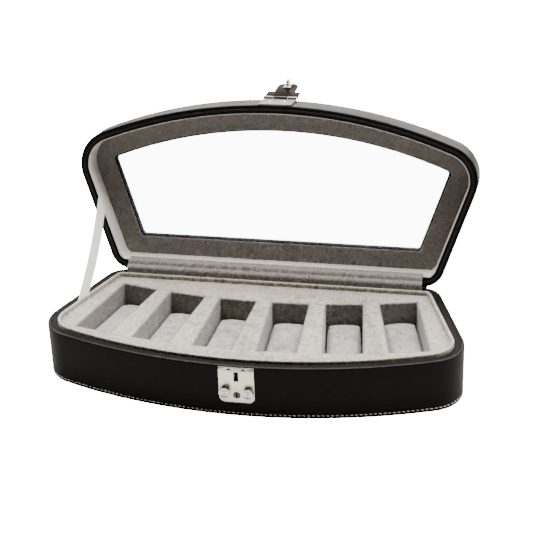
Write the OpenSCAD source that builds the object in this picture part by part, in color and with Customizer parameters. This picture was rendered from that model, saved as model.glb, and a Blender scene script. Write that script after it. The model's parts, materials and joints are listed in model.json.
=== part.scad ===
// Fan-shaped leather watch box: six fanned wells with cushions, a glazed lid and a keyed hasp lock.
// X runs left to right, Y from front to back, Z up. The origin is on the bottom face, in the
// middle of the depth. The lid and hasp are drawn open, which is their rest position.

/* [Base] */
// Width across the back wall
back_w = 320; // [300:1:340]
// Angle by which each side wall splays out towards the front
splay = 18.8; // [17:0.1:20]
// Depth from the back wall to the middle of the bowed front
depth = 170; // [160:1:180]
// Radius of the bowed front
front_r = 464; // [440:1:500]
// Radius of the two front corners, in plan
corner_r = 35; // [30:1:45]
// Radius of the two rear corners, in plan
rear_r = 21; // [19:1:26]
// Height of the base, up to its rim
base_h = 51; // [50:1:60]

/* [Lid] */
// Height of the lid, from its rim to its top
lid_h = 33; // [33:1:38]
// Angle that the lid is open by at rest, held by the ribbon stay
lid_open = 100; // [95:1:110]
// Distance from the lid's outline to the window in its lining
window_inset = 28; // [26:1:34]
// Thickness of the glass
glass_t = 3; // [2:0.5:4]

/* [Walls] */
// Thickness of the leather skin
leather_t = 1.6; // [1:0.1:2]
// Width of the base's flat rim, which is the leather and the wall board
rim_w = 8.6; // [8:0.1:9]
// Height of the suede collar above the rim
collar_up = 2.8; // [2:0.1:4]
// Thickness of the suede collar
collar_t = 3; // [2:0.1:3.5]

/* [Wells] */
// Width of each watch well
well_w = 35; // [30:0.1:36]
// Length of each watch well
well_len = 90; // [80:1:92]
// Angle between neighbouring wells in the fan
well_step = 5.27; // [5:0.01:5.4]
// Distance from the fan's centre to the middle of the wells
fan_r = 598; // [590:1:600]
// How far the cushions lie below the base's rim
cushion_down = 14; // [8:1:20]

/* [Lock] */
// Width of the lock plate, the leaf and the hasp
plate_w = 32; // [32:0.5:36]
// Height of the bottom edge of the lock plate
plate_low = 15.5; // [14:0.5:16]
// Distance of each thumb stud from the middle
stud_x = 10.5; // [10:0.1:11]
// Travel of each thumb stud
stud_travel = 1.8; // [1:0.1:1.8]
// Angle that the hasp is open by at rest
hasp_open = 173; // [150:1:176]

/* [Ribbon] */
// Width of the ribbon stay, measured along the rim that it crosses
ribbon_w = 16; // [10:1:20]
// Distance of the middle of the ribbon from the hinge line
ribbon_reach = 67; // [50:1:80]

/* [Hidden] */
$fn = 96;

leather_black = [0.10, 0.09, 0.09];
suede_grey = [0.66, 0.64, 0.62];
board_brown = [0.55, 0.45, 0.34];
nickel = [0.82, 0.80, 0.75];
satin_white = [0.93, 0.92, 0.90];
glass_clear = [0.80, 0.88, 0.88, 0.35];

far = 500;              // longer than any piece, for trimming
skip = 0.1;             // gap between pieces that rest on each other
back_y = depth / 2;
front_y = -depth / 2;
front_centre = [0, front_y + front_r];

// Heights in the base
pad_t = 1.2;
pad_top = pad_t;
floor_top = pad_top + 3;
skin_low = 0.5;         // the leather ends a little above the bottom pad's resting face
tray_t = 2.5;
tray_down = 1.2;        // depth of the tray's top below the rim
tray_low = base_h - tray_down - tray_t;
collar_in = rim_w + 0.7;
collar_back = 11.2;     // the collar stands further in at the back, to clear the lid
liner_t = 1.2;

// Heights in the lid, from the base's rim with the lid closed
rim_gap = 1.0;
lining_face = 24;       // visible face of the lining frame
lining_t = 1.8;
glass_low = lining_face + lining_t;
glass_high = glass_low + glass_t;
top_low = lid_h - leather_t;
lid_frame_w = 7.4;      // inner face of the lid's frame, from the outline
lid_frame_back = 9.4;   // the same at the back
side_lining_t = 1.2;
back_lining_t = 1.0;
glass_inset = 21;
hinge_z = base_h + rim_gap / 2;

// Fan of wells
wells = 6;
fan_y = 591;            // the fan's centre, far behind the box
cushion_gap = 0.8;
cushion_round = 12;

// Lock
plate_t = 1.15;
plate_back = front_y - 0.05;
plate_front = plate_back - plate_t;
plate_top = base_h - 0.6;
lip_low = base_h - 4.2;
case_w = 30;
case_low = plate_low + 1.7;
case_high = base_h - 2.8;
case_wall = 0.7;
case_back = front_y + 7.1;
keyhole_z = plate_low + 7.4;
key_r = 3.4;
stud_z = plate_low + 10.8;
stud_r = 5.2;
neck_r = 1.9;
strike_z = base_h - 9.4;
strike_half = 1.7;      // half width of the striker
slot_half = 2.1;
strike_h = 8;
jaw_y = front_y + 0.6;  // front face of the latch jaws
jaw_t = 1;
pin_y = front_y - 2.2;
pin_z = base_h + 31.4;
pin_r = 0.8;
knuckle_r = 1.4;
knuckle_half = 7;       // half width of the hasp's own knuckle
hasp_t = 1.2;
hasp_in = pin_y - knuckle_r + hasp_t;   // inner face of the closed hasp
tongue_half = 10;
shoulder_z = base_h + 11;
tip_centre_z = base_h - 8;

// ---- outline of the box in plan ----------------------------------------------------------

side_n = [cos(splay), sin(splay)];      // outward normal of the right side wall
side_d = [sin(splay), -cos(splay)];     // direction of the right side wall, towards the front
function side_start(inset) = [back_w / 2, back_y] - inset * side_n;
// Distance along the side to the centre of a corner of radius r that touches side and front
function corner_run(inset, r) =
    let(w = side_start(inset) - r * side_n - front_centre, b = w * side_d,
        c = w * w - pow(front_r - inset - r, 2))
    -b + sqrt(b * b - c);
function corner_centre(inset, r) =
    side_start(inset) - r * side_n + corner_run(inset, r) * side_d;
function rear_centre(inset, r) =
    let(q = side_start(inset) - r * side_n, y = back_y - inset - r)
    [q[0] + (q[1] - y) * tan(splay), y];
function flip(p) = [-p[0], p[1]];
function arc(centre, r, from, to, steps) = [for (k = [0 : steps])
    let(a = from + (to - from) * k / steps) centre + r * [cos(a), sin(a)]];

// Points of the right half of the outline moved inwards by inset, from the back round to the front
function right_half(inset, r_front, r_rear) =
    let(c = corner_centre(inset, r_front), ray = c - front_centre,
        turn = atan2(ray[1], ray[0]), front = arc(front_centre, front_r - inset, turn, -90, 12))
    concat(arc(rear_centre(inset, r_rear), r_rear, 90, splay, 8),
        arc(c, r_front, splay, turn, 12), [for (k = [1 : 12]) front[k]]);

// The plan outline moved inwards by inset, with given front and rear corner radii
module rounded_fan(inset, r_front, r_rear) {
    half = right_half(inset, r_front, r_rear);
    polygon(concat(half, [for (k = [len(half) - 2 : -1 : 0]) flip(half[k])]));
}

module fan(inset) rounded_fan(inset, corner_r - inset, max(rear_r - inset, 2));

// The outline with its back edge further in
module fan_short(inset, back) intersection() {
    fan(inset);
    translate([-far / 2, back_y - back - far]) square(far);
}

module window(inset) rounded_fan(inset, 3, 3);

module slab(low, high) translate([0, 0, low]) linear_extrude(high - low) children();

module ring(low, high, outer, inner) slab(low, high) difference() {
    fan(outer);
    fan(inner);
}

// ---- places that repeat ----------------------------------------------------------------

// Moves a piece drawn in the middle of a well to well number i
module at_well(i) translate([0, fan_y, 0]) rotate((i - (wells + 1) / 2) * well_step)
    translate([0, -fan_r, 0]) children();

module block(w, l, low, high) translate([-w / 2, -l / 2, low]) cube([w, l, high - low]);

// Turns what is drawn on the closed lid to where it is with the lid open
module lid_rest() translate([0, back_y, hinge_z]) rotate([-lid_open, 0, 0])
    translate([0, -back_y, -hinge_z]) children();

module hasp_rest() lid_rest() translate([0, pin_y, pin_z]) rotate([-hasp_open, 0, 0])
    translate([0, -pin_y, -pin_z]) children();

// A point drawn on the closed lid, from the hinge line, turned to the open lid: [y, z]
function on_lid(y, z) = [y * cos(lid_open) + z * sin(lid_open),
    -y * sin(lid_open) + z * cos(lid_open)];

// A profile in Y and Z from the hinge line, drawn out along X
module along_hinge(half, points) translate([half, back_y, hinge_z]) rotate([0, -90, 0])
    linear_extrude(2 * half) polygon([for (p = points) [p[1], p[0]]]);

module x_rod(x0, x1, y, z, r) translate([x0, y, z]) rotate([0, 90, 0])
    cylinder(h = x1 - x0, r = r, $fn = 32);

module y_rod(x, y0, y1, z, r) translate([x, y0, z]) rotate([-90, 0, 0])
    cylinder(h = y1 - y0, r = r, $fn = 48);

module box(x0, x1, y0, y1, z0, z1) translate([x0, y0, z0]) cube([x1 - x0, y1 - y0, z1 - z0]);

// A level slot through a plate, as long as its centres' distance plus its width
module y_slot(x0, x1, y0, y1, z, r) {
    y_rod(x0, y0, y1, z, r);
    y_rod(x1, y0, y1, z, r);
    box(x0, x1, y0, y1, z - r, z + r);
}

// ---- base ------------------------------------------------------------------------------

module lock_pocket(front, back) box(-case_w / 2 - 0.2, case_w / 2 + 0.2, front, back,
    case_low - 0.2, case_high + 0.2);

module bottom_pad() color(leather_black) slab(0, pad_top) fan(leather_t + 0.5);

module floor_board() color(board_brown) slab(pad_top, floor_top) fan(leather_t);

module wall_frame() color(board_brown) difference() {
    ring(floor_top, base_h - leather_t, leather_t, rim_w);
    lock_pocket(front_y - 1, case_back + 0.3);
}

module base_leather() color(leather_black) difference() {
    union() {
        ring(skin_low, base_h, 0, leather_t);
        ring(base_h - leather_t, base_h, 0, rim_w);
    }
    lock_pocket(front_y - 1, front_y + 4);
}

module base_welt() color(leather_black) ring(base_h, base_h + 0.5, 0.6, 2.4);

module collar() color(suede_grey) slab(floor_top + skip, base_h + collar_up) difference() {
    fan_short(collar_in, collar_back);
    fan_short(collar_in + collar_t, collar_back + collar_t);
}

module tray_panel() color(suede_grey) difference() {
    slab(tray_low, tray_low + tray_t)
        fan_short(collar_in + collar_t + skip, collar_back + collar_t + skip);
    for (i = [1 : wells]) at_well(i) block(well_w, well_len, tray_low - 1, base_h + 5);
}

module well_liner(i) color(suede_grey) at_well(i) difference() {
    block(well_w + 2 * liner_t, well_len + 2 * liner_t, floor_top + skip, tray_low - skip);
    block(well_w, well_len, floor_top + skip + liner_t, base_h);
}

// Side view of a cushion: a block with two rounded top ends, drawn across the well
module cushion(i) {
    low = floor_top + 2 * skip + liner_t;
    high = base_h - cushion_down;
    half = well_len / 2 - 1;
    half_w = well_w / 2 - cushion_gap;
    color(suede_grey) at_well(i) translate([half_w, 0, 0]) rotate([0, -90, 0])
        linear_extrude(2 * half_w) {
            translate([low, -half]) square([high - low - cushion_round, 2 * half]);
            translate([low, -half + cushion_round])
                square([high - low, 2 * (half - cushion_round)]);
            for (s = [-1, 1]) translate([high - cushion_round, s * (half - cushion_round)])
                circle(cushion_round);
        }
}

// ---- lock on the base ---------------------------------------------------------------------

module lock_plate() color(nickel) difference() {
    union() {
        box(-plate_w / 2, plate_w / 2, plate_front, plate_back, plate_low + 5.5, lip_low);
        box(-plate_w / 2 + 5.5, plate_w / 2 - 5.5, plate_front, plate_back,
            plate_low, plate_low + 6);
        for (s = [-1, 1]) y_rod(s * (plate_w / 2 - 5.5), plate_front, plate_back,
            plate_low + 5.5, 5.5);
        // lip that leans back to the rim
        translate([plate_w / 2, 0, 0]) rotate([0, -90, 0]) linear_extrude(plate_w)
            polygon([[lip_low, plate_back], [lip_low, plate_front],
                [plate_top, plate_back - 0.5], [plate_top, plate_back]]);
    }
    box(-slot_half, slot_half, plate_front - 1, plate_back + 1,
        strike_z - 4.8, strike_z + 4.8);
    y_rod(0, plate_front - 1, plate_back + 1, keyhole_z, key_r + 0.05);
    for (s = [-1, 1]) {
        mirror([s < 0 ? 1 : 0, 0, 0]) y_slot(stud_x - 0.3, stud_x + stud_travel + 0.3,
            plate_front - 1, plate_back + 1, stud_z, neck_r + 0.2);
        y_slot(s * 6.5 - 0.9, s * 6.5 + 0.9, plate_front - 1, plate_back + 1,
            lip_low + 1.8, 0.8);
    }
}

module lock_case() color(nickel) difference() {
    box(-case_w / 2, case_w / 2, front_y + 0.1, case_back, case_low, case_high);
    box(-case_w / 2 + case_wall, case_w / 2 - case_wall, front_y - 1,
        case_back - case_wall, case_low + case_wall, case_high - case_wall);
}

// s is -1 on the left and 1 on the right
module thumb_stud(s) color(nickel) difference() {
    union() {
        y_rod(s * stud_x, plate_front - 4, plate_front - 0.3, stud_z, stud_r);
        y_rod(s * stud_x, plate_front - 0.4, jaw_y, stud_z, neck_r);
    }
    translate([s * stud_x, plate_front - 13.2, stud_z]) sphere(10);
}

module latch_jaw(s) color(nickel) mirror([s < 0 ? 1 : 0, 0, 0]) {
    box(1.1, 9, jaw_y, jaw_y + jaw_t, strike_z - 2, strike_z + 2);
    box(7, 12.2, jaw_y, jaw_y + jaw_t, stud_z - 2.6, strike_z + 2);
}

module key_cylinder() color(nickel) difference() {
    union() {
        y_rod(0, plate_front - 0.2, front_y + 5, keyhole_z, key_r);
        box(-1.3, 1.3, front_y + 2.6, front_y + 3.4, keyhole_z, keyhole_z + 6);
    }
    y_rod(0, plate_front - 1, plate_front + 2, keyhole_z + 0.7, 0.9);
    box(-0.55, 0.55, plate_front - 1, plate_front + 3.4, keyhole_z - 2.3, keyhole_z + 0.7);
}

// ---- pieces that join the base and the lid --------------------------------------------------

spine_t = 1.2;
spine_down = 30;
spine_up = 26;
spine_half = back_w / 2 - rear_r / 2;

module leather_spine() {
    corner = on_lid(spine_t, 1.24 * spine_t);
    color(leather_black) along_hinge(spine_half, [[0.05, -spine_down],
        [spine_t, -spine_down], [spine_t, corner[1]], on_lid(spine_t, spine_up),
        on_lid(0.05, spine_up), [0.05, -0.06]]);
}

flap_t = 1.4;
flap_points = [[-10.4, -0.2], [-10.9, 8], [-4, 12.6], [5.5, 10.9]];
function bezier(p, t) = pow(1 - t, 3) * p[0] + 3 * t * pow(1 - t, 2) * p[1]
    + 3 * t * t * (1 - t) * p[2] + pow(t, 3) * p[3];
function slope(p, t) = bezier(p, t + 0.01) - bezier(p, t - 0.01);
function shifted(p, t, d) = let(v = slope(p, t)) bezier(p, t) + d * [-v[1], v[0]] / norm(v);

module hinge_flap() color(suede_grey) along_hinge(spine_half - 4, concat(
    [for (i = [0 : 10]) shifted(flap_points, i / 10, flap_t / 2)],
    [for (i = [10 : -1 : 0]) shifted(flap_points, i / 10, -flap_t / 2)]));

// The ribbon is a flat band whose edges run straight from rim to rim
function ribbon_x(reach) = -(back_w / 2 + reach * tan(splay)) + (rim_w + 0.15) / cos(splay);
function ribbon_ends(reach, dx) = [
    [ribbon_x(reach) + dx, back_y - reach, base_h + 0.6],
    [ribbon_x(reach) + dx, back_y + on_lid(-reach, 0.9)[0], hinge_z + on_lid(-reach, 0.9)[1]]];

module ribbon_stay() {
    rear = ribbon_reach - ribbon_w / 2;
    front = ribbon_reach + ribbon_w / 2;
    p = concat(ribbon_ends(front, 0), ribbon_ends(rear, 0),
        ribbon_ends(front, 0.5), ribbon_ends(rear, 0.5));
    color(satin_white) polyhedron(p, [[0, 2, 3, 1], [4, 5, 7, 6], [0, 1, 5, 4],
        [2, 6, 7, 3], [1, 3, 7, 5], [0, 4, 6, 2]]);
}

// ---- lid -----------------------------------------------------------------------------------

module lid_slab(low, high) lid_rest() slab(base_h + low, base_h + high) children();

module lid_frame() color(board_brown) lid_slab(rim_gap + leather_t, glass_high) difference() {
    fan(leather_t);
    fan_short(lid_frame_w, lid_frame_back);
}

module lid_top_board() color(board_brown) lid_slab(glass_high, top_low) difference() {
    fan(leather_t);
    window(window_inset + 0.4);
}

module lid_leather() color(leather_black) {
    lid_slab(rim_gap, lid_h) difference() {
        fan(0);
        fan(leather_t);
    }
    lid_slab(rim_gap, rim_gap + leather_t) difference() {
        fan(0);
        fan_short(lid_frame_w, lid_frame_back);
    }
    lid_slab(top_low, lid_h) difference() {
        fan(0);
        window(window_inset + 2);
    }
}

module lid_welt() color(leather_black) lid_slab(rim_gap - 0.4, rim_gap) difference() {
    fan(3.6);
    fan(5.2);
}

module lid_side_lining() color(suede_grey) lid_slab(rim_gap + 0.2, lining_face) difference() {
    fan_short(lid_frame_w, lid_frame_back);
    fan_short(lid_frame_w + side_lining_t, lid_frame_back + back_lining_t);
}

module lid_lining_frame() color(suede_grey) lid_slab(lining_face, glass_low) difference() {
    fan_short(lid_frame_w + skip, lid_frame_back + skip);
    window(window_inset);
}

module glass_spacer() color(board_brown) lid_slab(glass_low, glass_high) difference() {
    fan_short(lid_frame_w + skip, lid_frame_back + skip);
    fan(glass_inset);
}

module glass_pane() color(glass_clear) lid_slab(glass_low, glass_high) fan(glass_inset + skip);

module window_binding() color(leather_black) lid_slab(glass_high, top_low) difference() {
    window(window_inset + 0.4);
    window(window_inset + 2);
}

// ---- hasp ----------------------------------------------------------------------------------

rivet_z = base_h + 17;

module hasp_leaf() color(nickel) lid_rest() difference() {
    union() {
        box(-plate_w / 2, plate_w / 2, plate_front, plate_back, base_h + 1.6, pin_z);
        for (x = [-plate_w / 2, knuckle_half + 0.3])
            x_rod(x, x + plate_w / 2 - knuckle_half - 0.3, pin_y, pin_z, knuckle_r);
    }
    x_rod(-plate_w, plate_w, pin_y, pin_z, pin_r);
    // room for the hasp's knuckle
    box(-knuckle_half - 0.3, knuckle_half + 0.3, pin_y - 2, plate_back + 1, pin_z - 2, pin_z + 2);
    for (s = [-1, 1]) y_rod(s * 7, plate_front - 1, plate_back + 1, rivet_z, 0.9);
}

module leaf_rivets() color(nickel) lid_rest() for (s = [-1, 1])
    translate([s * 7, plate_back, rivet_z]) rotate([90, 0, 0]) {
        cylinder(h = plate_t, r = 0.9, $fn = 32);
        translate([0, 0, plate_t]) intersection() {
            cylinder(h = 0.7, r = 1.6, $fn = 32);
            translate([0, 0, -1.9]) sphere(2.6);
        }
    }

module hasp_pin() color(nickel) lid_rest()
    x_rod(-plate_w / 2 - 0.4, plate_w / 2 + 0.4, pin_y, pin_z, pin_r);

module hasp() color(nickel) hasp_rest() difference() {
    union() {
        x_rod(-knuckle_half, knuckle_half, pin_y, pin_z, knuckle_r);
        box(-knuckle_half, knuckle_half, hasp_in - hasp_t, hasp_in, pin_z - 2, pin_z);
        box(-plate_w / 2, plate_w / 2, hasp_in - hasp_t, hasp_in, shoulder_z, pin_z - 1.8);
        box(-tongue_half, tongue_half, hasp_in - hasp_t, hasp_in, tip_centre_z, shoulder_z + 1);
        y_rod(0, hasp_in - hasp_t, hasp_in, tip_centre_z, tongue_half);
    }
    x_rod(-plate_w, plate_w, pin_y, pin_z, pin_r + 0.05);
    for (s = [-1, 1]) y_rod(0, hasp_in - hasp_t - 1, hasp_in + 1, strike_z + s * 6.2, 0.7);
}

// The striker's foot lies on the hasp and its hook has a neck that the jaws close on
module striker() color(nickel) hasp_rest() difference() {
    union() {
        box(-3.4, 3.4, hasp_in, hasp_in + 0.8, strike_z - 7.6, strike_z + 7.6);
        box(-strike_half, strike_half, hasp_in, front_y + 3.4,
            strike_z - strike_h / 2, strike_z + strike_h / 2);
    }
    for (s = [-1, 1]) {
        translate([s * (strike_half + 0.3), 0, 0]) box(-1.2, 1.2, jaw_y - 0.3,
            jaw_y + jaw_t + 0.3, strike_z - strike_h, strike_z + strike_h);
        y_rod(0, hasp_in - 1, hasp_in + 2, strike_z + s * 6.2, 0.7);
    }
}

module striker_rivets() color(nickel) hasp_rest() for (s = [-1, 1]) {
    y_rod(0, hasp_in - hasp_t, hasp_in + 0.8, strike_z + s * 6.2, 0.7);
    y_rod(0, hasp_in + 0.8, hasp_in + 1, strike_z + s * 6.2, 1.1);
}

// ---- drawing -------------------------------------------------------------------------------

bottom_pad();
floor_board();
wall_frame();
base_leather();
base_welt();
collar();
tray_panel();
well_liner(1);  // well_liner_1
well_liner(2);  // well_liner_2
well_liner(3);  // well_liner_3
well_liner(4);  // well_liner_4
well_liner(5);  // well_liner_5
well_liner(6);  // well_liner_6
cushion(1);  // cushion_1
cushion(2);  // cushion_2
cushion(3);  // cushion_3
cushion(4);  // cushion_4
cushion(5);  // cushion_5
cushion(6);  // cushion_6
lock_plate();
lock_case();
thumb_stud(-1);  // thumb_stud_left
thumb_stud(1);  // thumb_stud_right
latch_jaw(-1);  // latch_jaw_left
latch_jaw(1);  // latch_jaw_right
key_cylinder();
leather_spine();
hinge_flap();
ribbon_stay();
lid_frame();
lid_top_board();
lid_leather();
lid_welt();
lid_side_lining();
lid_lining_frame();
glass_spacer();
glass_pane();
window_binding();
hasp_leaf();
leaf_rivets();
hasp_pin();
hasp();
striker();
striker_rivets();
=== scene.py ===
"""A fan-shaped leather watch box with a glazed lid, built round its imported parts.

Sizes in the dataclasses are in millimetres. Every mesh is made in metres, in the parts' own
frame: X to the right, Y to the back, Z up, with the box standing on Z = 0.
"""

import json  # noqa: E402
import logging  # noqa: E402
import math  # noqa: E402
from collections.abc import Callable  # noqa: E402
from dataclasses import dataclass, field  # noqa: E402
from enum import Enum  # noqa: E402

import bmesh  # noqa: E402
import bpy  # noqa: E402
from mathutils import Matrix, Vector, noise  # noqa: E402


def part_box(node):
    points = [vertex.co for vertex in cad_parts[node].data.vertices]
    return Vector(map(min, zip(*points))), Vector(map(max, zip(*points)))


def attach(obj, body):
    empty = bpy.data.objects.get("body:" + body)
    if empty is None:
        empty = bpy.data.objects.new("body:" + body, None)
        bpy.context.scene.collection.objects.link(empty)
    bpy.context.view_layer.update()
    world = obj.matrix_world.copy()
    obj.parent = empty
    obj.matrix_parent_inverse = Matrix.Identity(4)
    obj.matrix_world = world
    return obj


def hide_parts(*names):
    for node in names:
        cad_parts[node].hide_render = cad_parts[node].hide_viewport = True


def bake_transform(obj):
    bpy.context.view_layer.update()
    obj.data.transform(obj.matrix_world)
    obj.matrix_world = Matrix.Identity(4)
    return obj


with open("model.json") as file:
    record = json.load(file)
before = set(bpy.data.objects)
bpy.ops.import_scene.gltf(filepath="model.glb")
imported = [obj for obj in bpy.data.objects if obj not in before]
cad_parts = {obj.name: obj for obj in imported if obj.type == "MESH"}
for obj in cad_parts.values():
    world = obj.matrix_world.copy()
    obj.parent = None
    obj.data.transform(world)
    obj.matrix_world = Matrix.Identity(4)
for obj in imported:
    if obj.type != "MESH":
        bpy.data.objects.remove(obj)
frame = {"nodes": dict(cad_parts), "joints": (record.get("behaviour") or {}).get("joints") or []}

MM = 0.001
LOG = logging.getLogger("watch_box")

Colour = tuple[float, float, float]
Pair = tuple[float, float]


class Slot(Enum):
    """Material slots of the record."""

    LEATHER = "leather"
    FELT = "bottom_felt"
    BOARD = "board"
    SUEDE = "suede"
    LID_SUEDE = "lid_suede"
    CUSHION = "cushion_suede"
    NICKEL = "nickel"
    RIBBON = "ribbon"
    GLASS = "glass"


class Side(Enum):
    """Left and right, as signs along X."""

    LEFT = -1
    RIGHT = 1


# ---- working in edit mode ------------------------------------------------------------------


def deselect_all() -> None:
    """Leaves edit mode and selects nothing."""
    if bpy.context.object is not None and bpy.context.object.mode != "OBJECT":
        bpy.ops.object.mode_set(mode="OBJECT")
    bpy.ops.object.select_all(action="DESELECT")


def pick(piece: bpy.types.Object) -> None:
    """Makes a piece the only selected one, and the active one.

    Args:
        piece: The piece to pick.
    """
    deselect_all()
    piece.select_set(True)
    bpy.context.view_layer.objects.active = piece


def named(name: str) -> bpy.types.Object:
    """Gives the active object and its mesh a name.

    Args:
        name: Its new name.

    Returns:
        The active object.
    """
    piece = bpy.context.active_object
    piece.name = name
    piece.data.name = name
    return piece


def settle(piece: bpy.types.Object, matrix: Matrix | None = None) -> None:
    """Puts a piece's place into its mesh, after an optional move.

    Args:
        piece: The piece to settle.
        matrix: A move in the row frame that comes after the piece's own place.
    """
    bpy.context.view_layer.update()
    piece.data.transform((matrix or Matrix.Identity(4)) @ piece.matrix_world)
    piece.matrix_world = Matrix.Identity(4)
    piece.data.update()


def close_up(piece: bpy.types.Object, merge: float = 0.004, smooth: float = 40.0) -> None:
    """Merges doubled points, points the faces outwards and shades the piece.

    Args:
        piece: The piece to finish.
        merge: Distance in mm under which points become one.
        smooth: Angle in degrees above which an edge stays sharp.
    """
    pick(piece)
    bpy.ops.object.mode_set(mode="EDIT")
    bpy.ops.mesh.select_all(action="SELECT")
    bpy.ops.mesh.remove_doubles(threshold=merge * MM)
    bpy.ops.mesh.normals_make_consistent(inside=False)
    bpy.ops.object.mode_set(mode="OBJECT")
    bpy.ops.object.shade_smooth_by_angle(angle=math.radians(smooth))
    deselect_all()


def place_loop(piece: bpy.types.Object, ring: list[Vector]) -> None:
    """Moves the selected points to a ring's places, by each point's number in the ring.

    Args:
        piece: The piece in edit mode.
        ring: The places, in metres.
    """
    mesh = bmesh.from_edit_mesh(piece.data)
    number = mesh.verts.layers.int["number"]
    for point in mesh.verts:
        if point.select:
            point.co = ring[point[number]]
    bmesh.update_edit_mesh(piece.data)


def loft(name: str, rings: list[list[Vector]], closed: bool = True) -> bpy.types.Object:
    """Draws a skin through rings of points, each extruded from the one before.

    Args:
        name: The new piece's name.
        rings: Closed rings with the same number of points.
        closed: True joins the last ring to the first. False closes both ends with a face.

    Returns:
        The piece, with its place in its mesh.
    """
    deselect_all()
    bpy.ops.mesh.primitive_circle_add(vertices=len(rings[0]), radius=10 * MM)
    piece = named(name)
    piece.matrix_world = Matrix.Identity(4)
    bpy.ops.object.mode_set(mode="EDIT")
    mesh = bmesh.from_edit_mesh(piece.data)
    number = mesh.verts.layers.int.new("number")
    for index, point in enumerate(mesh.verts):
        point[number] = index
    bmesh.update_edit_mesh(piece.data)
    place_loop(piece, rings[0])
    if not closed:
        bpy.ops.mesh.edge_face_add()
    extrude = bpy.ops.mesh.extrude_edges_indiv if closed else bpy.ops.mesh.extrude_region
    for ring in rings[1:] + rings[:1] * closed:
        extrude()
        place_loop(piece, ring)
    bpy.ops.object.mode_set(mode="OBJECT")
    piece.data.attributes.remove(piece.data.attributes["number"])
    close_up(piece)
    return piece


def rounded(corners: list[tuple[float, float, float]], steps: int = 4) -> list[Pair]:
    """Rounds the corners of a closed profile.

    Args:
        corners: Corner points as (a, b, radius).
        steps: Number of faces that each rounded corner is made of.

    Returns:
        The profile's points.
    """
    points: list[Pair] = []
    for k, (a, b, radius) in enumerate(corners):
        here = Vector((a, b))
        before = Vector(corners[k - 1][:2]) - here
        after = Vector(corners[(k + 1) % len(corners)][:2]) - here
        if radius <= 0:
            points.append((a, b))
            continue
        half = before.angle(after) / 2
        reach = min(radius / math.tan(half), before.length * 0.49, after.length * 0.49)
        start, end = here + before.normalized() * reach, here + after.normalized() * reach
        for step in range(steps + 1):
            t = step / steps
            along = start * (1 - t) ** 2 + here * 2 * t * (1 - t) + end * t**2
            points.append((along.x, along.y))
    return points


def turned(name: str, centre: Vector, profile: list[Pair], sides: int = 48) -> bpy.types.Object:
    """Makes a round piece about an axis along Y, as on a lathe.

    Args:
        name: The new piece's name.
        centre: A point of the axis, in mm.
        profile: Radius and distance towards the front along the axis, in mm.
        sides: Number of faces round the piece.

    Returns:
        The piece, with its ends closed.
    """
    rings = [
        [
            Vector(
                (
                    centre.x + radius * math.sin(math.tau * k / sides),
                    centre.y - out,
                    centre.z + radius * math.cos(math.tau * k / sides),
                )
            )
            * MM
            for k in range(sides)
        ]
        for radius, out in profile
    ]
    return loft(name, rings, closed=False)


def softened(node: str, name: str, width: float, steps: int = 3) -> bpy.types.Object:
    """Copies a CAD node's mesh, cleans it and rounds its edges.

    Args:
        node: The CAD node to copy.
        name: The new piece's name.
        width: Width of the rounding in mm.
        steps: Number of faces across the rounding.

    Returns:
        The new piece.
    """
    piece = frame["nodes"][node].copy()
    piece.data = piece.data.copy()
    piece.parent = None
    piece.hide_render = piece.hide_viewport = False
    for key in list(piece.keys()):
        del piece[key]
    bpy.context.scene.collection.objects.link(piece)
    pick(piece)
    named(name)
    piece.data.materials.clear()
    bpy.ops.object.mode_set(mode="EDIT")
    bpy.ops.mesh.select_all(action="SELECT")
    bpy.ops.mesh.remove_doubles(threshold=0.002 * MM)
    bpy.ops.mesh.dissolve_limited(angle_limit=math.radians(1))
    bpy.ops.object.mode_set(mode="OBJECT")
    bevel = piece.modifiers.new("rounding", "BEVEL")
    bevel.width = width * MM
    bevel.segments = steps
    bevel.limit_method = "ANGLE"
    bevel.angle_limit = math.radians(40)
    bevel.harden_normals = False
    bpy.ops.object.modifier_apply(modifier=bevel.name)
    close_up(piece, merge=0.001)
    return piece


# ---- effects that several finishes share -----------------------------------------------------


class Tree:
    """A shader tree that is filled node by node."""

    def __init__(self, tree: bpy.types.NodeTree) -> None:
        """Args: tree: The node tree to fill."""
        self.tree = tree

    def add(self, kind: str, inputs: dict | None = None, **settings: object) -> bpy.types.Node:
        """Adds a node.

        Args:
            kind: The node's type, without its ShaderNode prefix.
            inputs: Value or source socket for each input, by name or number.
            settings: The node's own settings.

        Returns:
            The node.
        """
        node = self.tree.nodes.new("ShaderNode" + kind)
        for key, value in settings.items():
            setattr(node, key, value)
        for key, value in (inputs or {}).items():
            if isinstance(value, bpy.types.NodeSocket):
                self.tree.links.new(value, node.inputs[key])
            else:
                node.inputs[key].default_value = value
        return node

    def noise(
        self, vector: bpy.types.NodeSocket, scale: float, detail: float = 4.0
    ) -> bpy.types.NodeSocket:
        """Adds a noise texture.

        Args:
            vector: Where the noise is read.
            scale: Its scale, per metre.
            detail: Its layers of finer noise.

        Returns:
            The noise's factor.
        """
        found = self.add("TexNoise", {"Vector": vector, "Detail": detail})
        if isinstance(scale, bpy.types.NodeSocket):
            self.tree.links.new(scale, found.inputs["Scale"])
        else:
            found.inputs["Scale"].default_value = scale
        return found.outputs["Fac"]

    def sum(self, operation: str, *values: object) -> bpy.types.NodeSocket:
        """Adds a Math node with that operation and returns its result."""
        return self.add("Math", dict(enumerate(values)), operation=operation).outputs[0]

    def blend(self, share: object, low: object, high: object) -> bpy.types.NodeSocket:
        """Mixes two colours.

        Args:
            share: 0 for the low colour, 1 for the high one.
            low: First colour or socket.
            high: Second colour or socket.

        Returns:
            The mixed colour.
        """
        node = self.add("Mix", data_type="RGBA")
        for key, value in ((0, share), (6, low), (7, high)):
            if isinstance(value, bpy.types.NodeSocket):
                self.tree.links.new(value, node.inputs[key])
            else:
                node.inputs[key].default_value = value
        return node.outputs[2]


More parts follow.
